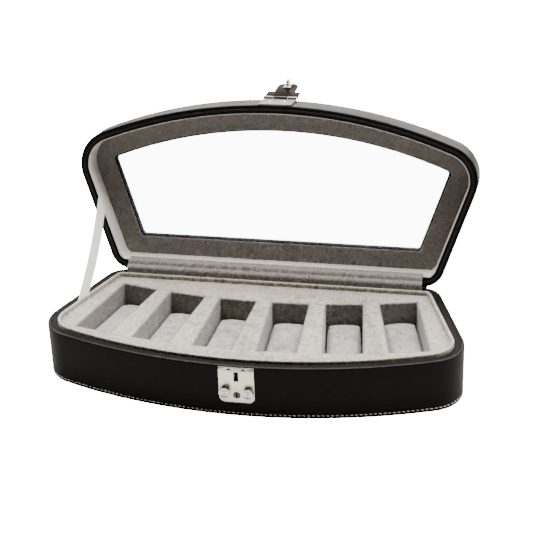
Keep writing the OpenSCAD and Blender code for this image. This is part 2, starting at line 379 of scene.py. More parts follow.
class Effect:
    """A shader node group with named inputs and outputs, made once."""

    def __init__(self, name: str, inputs: dict[str, float], outputs: list[str]) -> None:
        """Makes the group's sockets.

        Args:
            name: The group's name.
            inputs: Default of each number that it takes, besides its Vector.
            outputs: Names of the values that it gives.
        """
        self.group = bpy.data.node_groups.new(name, "ShaderNodeTree")
        sockets = self.group.interface
        sockets.new_socket("Vector", in_out="INPUT", socket_type="NodeSocketVector")
        for key, value in inputs.items():
            made = sockets.new_socket(key, in_out="INPUT", socket_type="NodeSocketFloat")
            made.default_value = value
        for key in outputs:
            sockets.new_socket(key, in_out="OUTPUT", socket_type="NodeSocketFloat")
        self.inside = Tree(self.group)
        self.source = self.group.nodes.new("NodeGroupInput").outputs
        self.sink = self.group.nodes.new("NodeGroupOutput").inputs

    def give(self, name: str, value: bpy.types.NodeSocket) -> None:
        """Connects one of the group's outputs."""
        self.group.links.new(value, self.sink[name])

    def used(self, tree: Tree, inputs: dict) -> bpy.types.NodeOutputs:
        """Places the group in a material.

        Args:
            tree: The material's tree.
            inputs: Sockets or numbers for the inputs, by name.

        Returns:
            The group's outputs.
        """
        node = tree.add("Group", None, node_tree=self.group)
        for key, value in inputs.items():
            if isinstance(value, bpy.types.NodeSocket):
                tree.tree.links.new(value, node.inputs[key])
            else:
                node.inputs[key].default_value = value
        return node.outputs


def grain_effect() -> Effect:
    """Leather grain: fine rounded pebbles with creases between them, and slow mottling.

    Returns:
        The effect, which gives Height and Mottle.
    """
    effect = Effect("leather_grain", {"Scale": 1500.0}, ["Height", "Mottle"])
    t = effect.inside
    cells = t.add(
        "TexVoronoi",
        {"Vector": effect.source["Vector"], "Scale": effect.source["Scale"], "Randomness": 1.0},
        feature="SMOOTH_F1",
    ).outputs["Distance"]
    fine = t.noise(effect.source["Vector"], t.sum("MULTIPLY", effect.source["Scale"], 0.4), 6.0)
    effect.give("Height", t.sum("SUBTRACT", t.sum("MULTIPLY", fine, 1.2), cells))
    effect.give("Mottle", t.noise(effect.source["Vector"], 45.0, 3.0))
    return effect


def nap_effect() -> Effect:
    """Suede nap: short fibres, and patches where the nap lies another way.

    Returns:
        The effect, which gives Height, Fibre and Brushed.
    """
    effect = Effect("suede_nap", {"Scale": 2600.0, "Patch": 90.0}, ["Height", "Brushed", "Fibre"])
    t = effect.inside
    fibre = t.noise(effect.source["Vector"], effect.source["Scale"], 5.0)
    warp = t.add("TexNoise", {"Vector": effect.source["Vector"], "Scale": effect.source["Patch"]})
    shifted = t.add(
        "VectorMath",
        {0: effect.source["Vector"], 1: warp.outputs["Color"], 2: (0.004, 0.004, 0.004)},
        operation="MULTIPLY_ADD",
    ).outputs[0]
    patch = t.noise(shifted, t.sum("MULTIPLY", effect.source["Patch"], 2.2), 5.0)
    effect.give("Height", t.sum("ADD", fibre, t.sum("MULTIPLY", patch, 0.7)))
    effect.give("Brushed", t.add("MapRange", {0: patch, 1: 0.34, 2: 0.66}).outputs[0])
    effect.give("Fibre", fibre)
    return effect


def wear_effect() -> Effect:
    """Edge wear: a mask on rounded edges, broken up by noise.

    Returns:
        The effect, which gives Mask.
    """
    effect = Effect("edge_wear", {"Amount": 0.5}, ["Mask"])
    t = effect.inside
    edge = t.add("NewGeometry").outputs["Pointiness"]
    high = t.add("MapRange", {0: edge, 1: 0.53, 2: 0.62}).outputs[0]
    broken = t.add("MapRange", {0: t.noise(effect.source["Vector"], 420.0), 1: 0.35, 2: 0.7}).outputs[0]
    effect.give("Mask", t.sum("MULTIPLY", t.sum("MULTIPLY", high, broken), effect.source["Amount"]))
    return effect


def streak_effect() -> Effect:
    """Brushing: fine streaks along X, with a few longer hairlines.

    Returns:
        The effect, which gives Height and Streak.
    """
    effect = Effect("brushing", {"Fineness": 9000.0}, ["Height", "Streak"])
    t = effect.inside
    drawn = t.add(
        "Mapping", {"Vector": effect.source["Vector"], "Scale": (0.02, 1.0, 1.0)}
    ).outputs[0]
    fine = t.noise(drawn, effect.source["Fineness"], 3.0)
    long_lines = t.noise(drawn, 2600.0, 2.0)
    effect.give("Height", t.sum("ADD", fine, t.sum("MULTIPLY", long_lines, 0.5)))
    effect.give("Streak", long_lines)
    return effect


def dust_effect() -> Effect:
    """Dust: faint specks that lie on faces that look up.

    Returns:
        The effect, which gives Mask.
    """
    effect = Effect("dust", {"Amount": 0.1}, ["Mask"])
    t = effect.inside
    up = t.add("SeparateXYZ", {0: t.add("NewGeometry").outputs["Normal"]}).outputs[2]
    lying = t.add("MapRange", {0: up, 1: 0.4, 2: 1.0}).outputs[0]
    speck = t.noise(effect.source["Vector"], 900.0)
    specks = t.add("MapRange", {0: speck, 1: 0.55, 2: 0.75}).outputs[0]
    effect.give("Mask", t.sum("MULTIPLY", t.sum("MULTIPLY", lying, specks), effect.source["Amount"]))
    return effect


def weave_effect() -> Effect:
    """Ribbed weave: fine ribs across the cloth and finer threads along it.

    Returns:
        The effect, which gives Height and Rib.
    """
    effect = Effect("ribbed_weave", {"Ribs": 2200.0, "Threads": 5200.0}, ["Height", "Rib"])
    t = effect.inside
    parts = t.add("SeparateXYZ", {0: effect.source["Vector"]}).outputs
    rib = t.sum("SINE", t.sum("MULTIPLY", parts[0], effect.source["Ribs"]))
    thread = t.sum("SINE", t.sum("MULTIPLY", parts[1], effect.source["Threads"]))
    rib = t.sum("MULTIPLY_ADD", rib, 0.5, 0.5)
    effect.give("Height", t.sum("MULTIPLY_ADD", t.sum("MULTIPLY_ADD", thread, 0.5, 0.5), 0.35, rib))
    effect.give("Rib", rib)
    return effect


GRAIN, NAP, WEAR = grain_effect(), nap_effect(), wear_effect()
STREAK, DUST, WEAVE = streak_effect(), dust_effect(), weave_effect()


# ---- finishes ------------------------------------------------------------------------------


def start_material(name: str) -> tuple[bpy.types.Material, Tree, bpy.types.Node, bpy.types.NodeSocket]:
    """Makes a material with a Principled shader.

    Args:
        name: The material's name.

    Returns:
        The material, its tree, its shader and the Object coordinates.
    """
    material = bpy.data.materials.new(name)
    material.use_nodes = True
    tree = Tree(material.node_tree)
    shader = material.node_tree.nodes["Principled BSDF"]
    return material, tree, shader, tree.add("TexCoord").outputs["Object"]


def set_bump(tree: Tree, shader: bpy.types.Node, height: bpy.types.NodeSocket, depth: float) -> None:
    """Feeds a height to the shader's normal, with its depth in mm."""
    bump = tree.add("Bump", {"Height": height, "Distance": depth * MM, "Strength": 1.0})
    tree.tree.links.new(bump.outputs[0], shader.inputs["Normal"])


@dataclass(frozen=True)
class Leather:
    """Smooth dyed leather: fine grain, soft sheen, a little wear along the edges."""

    name: str
    colour: Colour = (0.0058, 0.0042, 0.0033)
    worn: Colour = (0.030, 0.027, 0.025)
    roughness: float = 0.40
    gloss: float = 0.07
    grain: float = 1300.0
    depth: float = 0.035

    def material(self) -> bpy.types.Material:
        """Makes the leather's material.

        Returns:
            The material.
        """
        material, t, shader, where = start_material(self.name)
        grain = GRAIN.used(t, {"Vector": where, "Scale": self.grain})
        wear = WEAR.used(t, {"Vector": where, "Amount": 0.5})["Mask"]
        dust = DUST.used(t, {"Vector": where, "Amount": 0.025})["Mask"]
        dark = [0.7 * c for c in self.colour]
        light = [1.35 * c for c in self.colour]
        colour = t.blend(grain["Mottle"], (*dark, 1), (*light, 1))
        colour = t.blend(wear, colour, (*self.worn, 1))
        colour = t.blend(dust, colour, (0.30, 0.29, 0.28, 1))
        t.tree.links.new(colour, shader.inputs["Base Color"])
        rough = t.sum("MULTIPLY_ADD", grain["Mottle"], 0.16, self.roughness - 0.08)
        t.tree.links.new(rough, shader.inputs["Roughness"])
        shader.inputs["Specular IOR Level"].default_value = self.gloss
        set_bump(t, shader, grain["Height"], self.depth)
        return material


@dataclass(frozen=True)
class Suede:
    """Brushed suede: short nap that lies in patches, and no gloss."""

    name: str
    dark: Colour
    light: Colour
    nap: float = 1500.0
    patch: float = 85.0
    depth: float = 0.10

    def material(self) -> bpy.types.Material:
        """Makes the suede's material.

        Returns:
            The material.
        """
        material, t, shader, where = start_material(self.name)
        nap = NAP.used(t, {"Vector": where, "Scale": self.nap, "Patch": self.patch})
        fibre = t.add("MapRange", {0: nap["Fibre"], 1: 0.34, 2: 0.66, 3: 0.70, 4: 1.18}).outputs[0]
        colour = t.add("Mix", data_type="RGBA", blend_type="MULTIPLY")
        t.tree.links.new(t.blend(nap["Brushed"], (*self.dark, 1), (*self.light, 1)), colour.inputs[6])
        t.tree.links.new(fibre, colour.inputs[7])
        colour.inputs[0].default_value = 1.0
        t.tree.links.new(colour.outputs[2], shader.inputs["Base Color"])
        rough = t.sum("MULTIPLY_ADD", nap["Brushed"], -0.08, 0.98)
        t.tree.links.new(rough, shader.inputs["Roughness"])
        shader.inputs["Specular IOR Level"].default_value = 0.12
        shader.inputs["Sheen Weight"].default_value = 0.25
        shader.inputs["Sheen Roughness"].default_value = 0.5
        set_bump(t, shader, nap["Height"], self.depth)
        return material


@dataclass(frozen=True)
class Nickel:
    """Plated metal, brushed or polished."""

    name: str
    colour: Colour = (1.0, 0.90, 0.70)
    roughness: float = 0.36
    depth: float = 0.004
    tarnish: float = 0.10
    edge: float = 1.0
    shine: float = 1.25

    def material(self) -> bpy.types.Material:
        """Makes the metal's material.

        Returns:
            The material.
        """
        material, t, shader, where = start_material(self.name)
        streak = STREAK.used(t, {"Vector": where})
        wear = WEAR.used(t, {"Vector": where, "Amount": 0.6})["Mask"]
        cloud = t.noise(where, 240.0, 5.0)
        dull = [c * (1 - self.tarnish) for c in self.colour]
        colour = t.blend(cloud, (*self.colour, 1), (*dull, 1))
        colour = t.blend(wear, colour, (*(min(1.0, self.shine * c) for c in self.colour), 1))
        t.tree.links.new(colour, shader.inputs["Base Color"])
        rough = t.sum("MULTIPLY_ADD", streak["Streak"], 0.16, self.roughness - 0.08)
        t.tree.links.new(rough, shader.inputs["Roughness"])
        shader.inputs["Metallic"].default_value = 1.0
        shader.inputs["Specular Tint"].default_value = (self.edge, self.edge, self.edge, 1)
        set_bump(t, shader, streak["Height"], self.depth)
        return material


@dataclass(frozen=True)
class Satin:
    """Woven satin, with fine ribs across the band."""

    name: str
    colour: Colour = (0.95, 0.945, 0.93)

    def material(self) -> bpy.types.Material:
        """Makes the satin's material, which reads the band's own cloth_place attribute.

        Returns:
            The material.
        """
        material, t, shader, _ = start_material(self.name)
        place = t.add("Attribute", attribute_name="cloth_place").outputs["Vector"]
        weave = WEAVE.used(t, {"Vector": place})
        low = [c * 0.86 for c in self.colour]
        colour = t.blend(weave["Rib"], (*low, 1), (*self.colour, 1))
        t.tree.links.new(colour, shader.inputs["Base Color"])
        rough = t.sum("MULTIPLY_ADD", weave["Rib"], -0.12, 0.46)
        t.tree.links.new(rough, shader.inputs["Roughness"])
        shader.inputs["Sheen Weight"].default_value = 0.4
        set_bump(t, shader, weave["Height"], 0.05)
        return material


@dataclass(frozen=True)
class Thread:
    """Waxed sewing thread, twisted from fine strands."""

    name: str
    colour: Colour = (0.80, 0.75, 0.66)

    def material(self) -> bpy.types.Material:
        """Makes the thread's material.

        Returns:
            The material.
        """
        material, t, shader, where = start_material(self.name)
        strands = t.noise(where, 5200.0, 3.0)
        low = [c * 0.62 for c in self.colour]
        colour = t.blend(strands, (*low, 1), (*self.colour, 1))
        t.tree.links.new(colour, shader.inputs["Base Color"])
        rough = t.sum("MULTIPLY_ADD", strands, 0.2, 0.5)
        t.tree.links.new(rough, shader.inputs["Roughness"])
        set_bump(t, shader, strands, 0.03)
        return material


@dataclass(frozen=True)
class Rough:
    """A dull hidden material, such as felt or fibreboard, with specks in it."""

    name: str
    colour: Colour
    speck: Colour
    scale: float = 1400.0
    depth: float = 0.08

    def material(self) -> bpy.types.Material:
        """Makes the material.

        Returns:
            The material.
        """
        material, t, shader, where = start_material(self.name)
        fleck = t.noise(where, self.scale, 6.0)
        share = t.add("MapRange", {0: fleck, 1: 0.35, 2: 0.65}).outputs[0]
        colour = t.blend(share, (*self.colour, 1), (*self.speck, 1))
        t.tree.links.new(colour, shader.inputs["Base Color"])
        rough = t.sum("MULTIPLY_ADD", share, 0.1, 0.85)
        t.tree.links.new(rough, shader.inputs["Roughness"])
        shader.inputs["Specular IOR Level"].default_value = 0.2
        set_bump(t, shader, fleck, self.depth)
        return material


@dataclass(frozen=True)
class Glass:
    """Clear flat glass with the faintest smears."""

    name: str
    tint: Colour = (0.975, 0.99, 0.985)

    def material(self) -> bpy.types.Material:
        """Makes the glass's material.

        Returns:
            The material.
        """
        material, t, shader, where = start_material(self.name)
        smear = t.noise(where, 30.0, 4.0)
        low = [c * 0.992 for c in self.tint]
        colour = t.blend(smear, (*low, 1), (*self.tint, 1))
        t.tree.links.new(colour, shader.inputs["Base Color"])
        shader.inputs["Roughness"].default_value = 0.0
        shader.inputs["IOR"].default_value = 1.45
        shader.inputs["Transmission Weight"].default_value = 1.0
        return material


class Finishes:
    """Every finish of the box, made once."""

    def __init__(self) -> None:
        """Makes the materials."""
        self.leather = Leather("black_leather").material()
        self.edge_leather = Leather("edge_leather", roughness=0.33, gloss=0.32, depth=0.02).material()
        self.suede = Suede("light_suede", (0.215, 0.185, 0.155), (0.47, 0.413, 0.35)).material()
        # Darker copy of the tray suede: painted shade inside the wells.
        self.well_suede_painted_shade = Suede("well_suede_painted_shade", (0.125, 0.110, 0.096), (0.26, 0.233, 0.206)).material()
        # Lighter copy of the suede: painted light from the side on the lid's inner walls.
        self.wall_suede_painted_light = Suede("wall_suede_painted_light", (0.66, 0.60, 0.54), (0.86, 0.80, 0.73)).material()
        # The lid's suede has a darker tone of its own, darkened further as painted shade on the lid's
        # face lining and the gusset.
        self.lid_suede = Suede("lid_suede", (0.135, 0.120, 0.108), (0.27, 0.243, 0.220)).material()
        self.cushion = Suede(
            "cushion_suede", (0.20, 0.186, 0.168), (0.42, 0.393, 0.357), patch=70.0
        ).material()
        self.nickel = Nickel("satin_nickel", tarnish=0.05).material()
        self.worn_nickel = Nickel("worn_nickel", (0.30, 0.285, 0.265), 0.5, 0.01, 0.3).material()
        self.bright = Nickel("bright_nickel", (0.88, 0.85, 0.80), 0.14, 0.001, 0.1).material()
        # Near-black metal with a dimmed glancing reflection: painted shade on the hanging hasp and on
        # the lock case seen through the slots.
        self.nickel_painted_shade = Nickel(
            "nickel_painted_shade", (0.075, 0.062, 0.052), 0.30, 0.004, tarnish=0.4, edge=0.35
        ).material()
        # Dark metal: painted shade in the key cylinder's recess and on the latch jaws behind the slots.
        self.barrel_painted_shade = Nickel("barrel_nickel_painted_shade", (0.10, 0.088, 0.074), 0.2, 0.003, 0.4).material()
        self.satin = Satin("white_satin").material()
        self.thread = Thread("cream_thread").material()
        self.black_board = Rough("black_board", (0.006, 0.006, 0.006), (0.012, 0.011, 0.011)).material()
        self.felt = Rough("black_felt", (0.012, 0.012, 0.012), (0.03, 0.03, 0.03)).material()
        self.board = Rough("fibreboard", (0.36, 0.26, 0.17), (0.22, 0.15, 0.09)).material()
        self.glass = Glass("window_glass").material()


def dress(
    piece: bpy.types.Object,
    finish: bpy.types.Material,
    slot: Slot,
    body: str | None,
    *nodes: str,
) -> bpy.types.Object:
    """Gives a new piece its finish, its body and the CAD nodes that it stands for.

    Args:
        piece: The piece, in place.
        finish: Its material.
        slot: The record's slot for it. Not used.
        body: The CAD body that it rides on, or None where it is attached to no body.
        nodes: CAD nodes that it replaces.

    Returns:
        The piece.
    """
    piece.data.materials.clear()
    piece.data.materials.append(finish)
    if nodes:
        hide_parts(*nodes)
    if body is not None:
        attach(piece, body)
    LOG.info("%s: %d faces", piece.name, len(piece.data.polygons))
    return piece


# ---- the box's plan --------------------------------------------------------------------------


@dataclass(frozen=True)
class Plan:
    """Plan outline of the box: straight back, splayed sides, rounded corners, bowed front."""

    back_w: float = 320.0
    back_y: float = 85.0
    front_y: float = -85.0
    splay: float = math.radians(18.8)
    front_r: float = 464.0
    corner_r: float = 35.0
    rear_r: float = 21.0

    def _half(self, inset: float, r_front: float, r_rear: float) -> list[Vector]:
        """Right half of the outline, from the back round to the middle of the front.

        Args:
            inset: Distance inwards from the outer wall, in mm.
            r_front: Radius of the front corner, in mm.
            r_rear: Radius of the rear corner, in mm.

        Returns:
            The points, in mm.
        """
        normal = Vector((math.cos(self.splay), math.sin(self.splay)))
        along = Vector((math.sin(self.splay), -math.cos(self.splay)))
        start = Vector((self.back_w / 2, self.back_y)) - inset * normal
        middle = Vector((0, self.front_y + self.front_r))
        w = start - r_front * normal - middle
        b = w.dot(along)
        c = w.dot(w) - (self.front_r - inset - r_front) ** 2
        corner = start - r_front * normal + (-b + math.sqrt(b * b - c)) * along
        q = start - r_rear * normal
        rear_y = self.back_y - inset - r_rear
        rear = Vector((q.x + (q.y - rear_y) * math.tan(self.splay), rear_y))
        ray = corner - middle
        turn = math.atan2(ray.y, ray.x)
        points = self._arc(rear, r_rear, math.pi / 2, self.splay, 12)
        points += self._arc(corner, r_front, self.splay, turn, 18)
        return points + self._arc(middle, self.front_r - inset, turn, -math.pi / 2, 24)[1:]

    @staticmethod
    def _arc(centre: Vector, radius: float, start: float, end: float, steps: int) -> list[Vector]:
        """Points of an arc."""
        angles = [start + (end - start) * k / steps for k in range(steps + 1)]
        return [centre + radius * Vector((math.cos(a), math.sin(a))) for a in angles]

    def _whole(self, half: list[Vector]) -> list[Vector]:
        """The right half and its mirror image, as one ring."""
        return half + [Vector((-p.x, p.y)) for p in reversed(half[:-1])]

    def outline(self, inset: float, back: float = 0.0) -> list[Vector]:
        """The outline moved inwards, in mm.

        Args:
            inset: Distance from the outside.
            back: Distance from the back wall at which the outline is cut off straight.

        Returns:
            The outline's points in plan.
        """
        half = self._half(inset, self.corner_r - inset, max(self.rear_r - inset, 2.0))
        limit = self.back_y - back
        return self._whole([Vector((p.x, min(p.y, limit))) for p in half])

    def ring(self, inset: float, z: float, back: float = 0.0) -> list[Vector]:
        """A level ring of the outline, in metres."""
        return [Vector((p.x, p.y, z)) * MM for p in self.outline(inset, back)]

    def window(self, inset: float, z: float) -> list[Vector]:
        """A level ring of the window's outline, in metres."""
        return [Vector((p.x, p.y, z)) * MM for p in self._whole(self._half(inset, 3.0, 3.0))]


PLAN = Plan()
HINGE = next(j for j in frame["joints"] if j["name"] == "lid_hinge")
HASP_HINGE = next(j for j in frame["joints"] if j["name"] == "hasp_hinge")


def turn_about(point: Vector, degrees: float) -> Matrix:
    """A turn about a line along X through a point, in metres."""
    there = Matrix.Translation(point)
    return there @ Matrix.Rotation(math.radians(degrees), 4, "X") @ there.inverted()


LID_AT_REST = turn_about(Vector(HINGE["pos_m"]), min(HINGE["range_deg"]))


def on_lid(piece: bpy.types.Object) -> bpy.types.Object:
    """Turns a piece that was made on the closed lid to the open lid, and returns it."""
    settle(piece, LID_AT_REST)
    return piece


@dataclass(frozen=True)
class Stitching:
    """A row of saddle stitches along a wall."""

    pitch: float = 4.2
    length: float = 3.0
    thick: float = 1.15
    slant: float = 7.0

    def _stitch(self) -> bpy.types.Object:
        """One stitch at the origin, along X: a short cord whose ends dip into the leather.

        Returns:
            The stitch.
        """
        deselect_all()
        bpy.ops.mesh.primitive_cylinder_add(
            vertices=6, radius=self.thick / 2 * MM, depth=self.length * MM, end_fill_type="TRIFAN"
        )
        stitch = named("stitch")
        bpy.ops.object.mode_set(mode="EDIT")
        for z in (-0.34, 0.0, 0.34):
            bpy.ops.mesh.select_all(action="SELECT")
            bpy.ops.mesh.bisect(plane_co=(0, 0, z * self.length * MM), plane_no=(0, 0, 1))
        bpy.ops.object.mode_set(mode="OBJECT")
        for point in stitch.data.vertices:
            share = abs(point.co.z) / (self.length / 2 * MM)
            thin = 1.0 - 0.55 * share**3
            point.co = Vector((point.co.z, point.co.x * thin, point.co.y * thin + 0.30 * MM * share**2))
        return stitch

    def row(self, name: str, path: list[Vector], height: float) -> bpy.types.Object:
        """Sews the stitches along a closed path in plan.

        Args:
            name: The new piece's name.
            path: The wall's outline in plan, in mm.
            height: Height of the row, in mm.

        Returns:
            All the stitches as one piece.
        """
        source = self._stitch()
        lengths = [(b - a).length for a, b in zip(path, path[1:] + path[:1])]
        count = round(sum(lengths) / self.pitch)
        step = sum(lengths) / count
        merged = bmesh.new()
        edge, gone = 0, 0.0
        for k in range(count):
            target = (k + 0.5) * step
            while gone + lengths[edge] < target:
                gone += lengths[edge]
                edge += 1
            a, b = path[edge], path[(edge + 1) % len(path)]
            along = (b - a).normalized()
            at = a + along * (target - gone)
            out = Vector((along.y, -along.x))
            if out.dot(at) < 0:
                out = -out
            turn = Matrix(
                (
                    (along.x, 0, -out.x, at.x * MM),
                    (along.y, 0, -out.y, at.y * MM),
                    (0, 1, 0, height * MM),
                    (0, 0, 0, 1),
                )
            )
            tilt = Matrix.Rotation(math.radians(self.slant), 4, "Z")
            copy = source.data.copy()
            copy.transform(turn @ tilt)
            merged.from_mesh(copy)
            bpy.data.meshes.remove(copy)
        merged.to_mesh(source.data)
        merged.free()
        source.name = source.data.name = name
        close_up(source, merge=0.001, smooth=60)
        return source


# ---- the base --------------------------------------------------------------------------------


@dataclass
class Base:
    """The box's lower half, without its lock: leather skin, rim, collar, tray and wells."""

    finishes: Finishes
    skin_low: float = 0.5
    skin: float = 1.6
    rim: float = 8.6
    collar_in: float = 9.3
    collar_back: float = 11.2
    collar_t: float = 3.0
    well_w: float = 35.0
    well_len: float = 90.0
    well_step: float = 5.27
    fan_r: float = 598.0
    fan_y: float = 591.0
    wells: int = 6
    lip: float = 1.3
    stitch_up: float = 3.8
    top: float = field(init=False)
    tray: float = field(init=False)
    floor: float = field(init=False)

    def __post_init__(self) -> None:
        """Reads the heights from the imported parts."""
        self.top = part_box("wall_frame")[1].z / MM + self.skin
        self.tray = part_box("tray_panel")[1].z / MM
        self.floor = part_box("well_liner_3")[0].z / MM

    def build(self) -> None:
        """Makes and dresses every piece of the base."""
        self.make_skin()
        self.make_welt()
        self.make_stitches()
        self.make_collar()
        self.make_tray()
        for number in range(1, self.wells + 1):
            self.make_well(number)
        for node, finish in (
            ("bottom_pad", self.finishes.felt),
            ("floor_board", self.finishes.board),
            ("wall_frame", self.finishes.board),
        ):
            repaint(node, finish)

    def make_skin(self) -> None:
        """The leather skin, turned in over the rim, with a crease under the stitches."""
        crease = self.stitch_up
        profile = rounded(
            [
                (0.0, self.skin_low, 1.0),
                (0.0, crease - 0.7, 0.3),
                (0.22, crease - 0.2, 0.3),
                (0.22, crease + 0.2, 0.3),
                (0.0, crease + 0.7, 0.3),
                (0.0, self.top, 1.6),
                (2.9, self.top, 0.2),
                (3.2, self.top - 0.35, 0.2),
                (3.6, self.top, 0.3),
                (self.rim, self.top, 0.5),
                (self.rim, self.top - self.skin, 0.0),
                (self.skin, self.top - self.skin, 0.0),
                (self.skin, self.skin_low, 0.0),
            ]
        )
        skin = loft("base_skin", [PLAN.ring(a, z) for a, z in profile])
        self.cut_lock_opening(skin)
        dress(skin, self.finishes.leather, Slot.LEATHER, "base", "base_leather")

    def cut_lock_opening(self, skin: bpy.types.Object) -> None:
        """Cuts the skin away behind the lock plate, where the lock case goes in.

        Args:
            skin: The leather skin.
        """
        low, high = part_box("lock_case")
        room, depth = 0.2 * MM, 4 * MM
        deselect_all()
        bpy.ops.mesh.primitive_cube_add(size=1.0, location=(0, low.y + depth / 4, (low.z + high.z) / 2))
        cutter = named("lock_opening")
        cutter.scale = (high.x - low.x + 2 * room, depth * 1.5, high.z - low.z + 2 * room)
        bpy.ops.object.transform_apply(location=True, rotation=False, scale=True)
        pick(skin)
        cut = skin.modifiers.new("lock_opening", "BOOLEAN")
        cut.operation, cut.solver, cut.object = "DIFFERENCE", "EXACT", cutter
        bpy.ops.object.modifier_apply(modifier=cut.name)
        bpy.data.objects.remove(cutter)
        close_up(skin)

    def make_welt(self) -> None:
        """The rolled edge that runs round the rim."""
        profile = rounded(
            [
                (0.5, self.top - 0.1, 0.2),
                (0.5, self.top + 0.5, 0.6),
                (2.6, self.top + 0.5, 0.6),
                (2.6, self.top - 0.1, 0.2),
            ],
            5,
        )
        welt = loft("rim_roll", [PLAN.ring(a, z) for a, z in profile])
        dress(welt, self.finishes.edge_leather, Slot.LEATHER, "base", "base_welt")

    def make_stitches(self) -> None:
        """The row of stitches near the bottom edge."""
        row = Stitching().row("base_stitches", PLAN.outline(0.05), self.stitch_up)
        dress(row, self.finishes.thread, Slot.LEATHER, "base")

    def make_collar(self) -> None:
        """The suede collar that stands up inside the rim, with a rolled top edge."""
        low, high = self.floor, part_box("collar")[1].z / MM
        profile = rounded(
            [(0.0, low, 0.0), (0.0, high, 1.3), (self.collar_t, high, 1.3), (self.collar_t, low, 0.0)], 6
        )
        rings = [
            PLAN.ring(self.collar_in + a, z, self.collar_back + a) for a, z in profile
        ]
        collar = loft("suede_collar", rings)
        dress(collar, self.finishes.suede, Slot.SUEDE, "base", "collar")

    def well_place(self, number: int) -> Matrix:
        """Moves what is made at the origin to the middle of a well, in metres."""
        turn = math.radians((number - (self.wells + 1) / 2) * self.well_step)
        return (
            Matrix.Translation((0, self.fan_y * MM, 0))
            @ Matrix.Rotation(turn, 4, "Z")
            @ Matrix.Translation((0, -self.fan_r * MM, 0))
        )

    def make_tray(self) -> None:
        """The tray's flat top, whose openings are widened to take the wells' rolled lips."""
        tray = softened("tray_panel", "suede_tray", 0.02, 1)
        grow = (self.lip + 0.4) * MM
        half_w, half_l = self.well_w / 2 * MM, self.well_len / 2 * MM
        for number in range(1, self.wells + 1):
            place = self.well_place(number)
            back = place.inverted()
            for point in tray.data.vertices:
                local = back @ point.co
                if abs(abs(local.x) - half_w) < 0.1 * MM and abs(local.y) < half_l + 0.1 * MM or (
                    abs(abs(local.y) - half_l) < 0.1 * MM and abs(local.x) < half_w + 0.1 * MM
                ):
                    local.x += math.copysign(grow, local.x)
                    local.y += math.copysign(grow, local.y)
                    point.co = place @ local
        dress(tray, self.finishes.suede, Slot.SUEDE, "base", "tray_panel")

    def well_ring(self, out: float, z: float, radius: float) -> list[Vector]:
        """A rounded rectangle round a well's middle.

        Args:
            out: Distance outwards from the well's walls.
            z: Height.
            radius: Radius of its corners.

        Returns:
            The ring's points, in metres.
        """
        half_w, half_l = self.well_w / 2 + out, self.well_len / 2 + out
        points = []
        for sx, sy, start in ((1, 1, 0), (-1, 1, 90), (-1, -1, 180), (1, -1, 270)):
            for step in range(7):
                a = math.radians(start + 15 * step)
                points.append(
                    Vector(
                        (
                            sx * (half_w - radius) + radius * math.cos(a),
                            sy * (half_l - radius) + radius * math.sin(a),
                            z,
                        )
                    )
                    * MM
                )
        return points

    def make_well(self, number: int) -> None:
        """One well's suede lining, with a soft lip that lies on the tray.

        Args:
            number: The well, counted from the left from 1.
        """
        lip, floor = self.lip, self.floor + 0.1
        rings = [self.well_ring(1.1, floor, 1.5), self.well_ring(1.1, self.tray - 2.6, 1.5)]
        rings += [self.well_ring(lip + 1.0, self.tray - down, 2.4) for down in (2.4, 0.06)]
        for step in range(7):
            a = math.radians(15 * step)
            out = lip * (1 - math.sin(a))
            rings.append(self.well_ring(out, self.tray + 0.04 - lip * (1 - math.cos(a)), 0.9 + out))
        rings += [self.well_ring(0, floor + 2.2, 0.9), self.well_ring(-0.9, floor + 1.2, 0.6)]
        well = loft(f"well_{number}", rings, closed=False)
        settle(well, self.well_place(number))
        # The darker well suede paints the shade inside the well.
        dress(well, self.finishes.well_suede_painted_shade, Slot.SUEDE, "base", f"well_liner_{number}")


def repaint(node: str, finish: bpy.types.Material) -> None:
    """Gives a shown CAD node a better material.

    Args:
        node: The node's name.
        finish: Its new material.
    """
    piece = frame["nodes"][node]
    piece.data.materials.clear()
    piece.data.materials.append(finish)


# ---- cushions --------------------------------------------------------------------------------


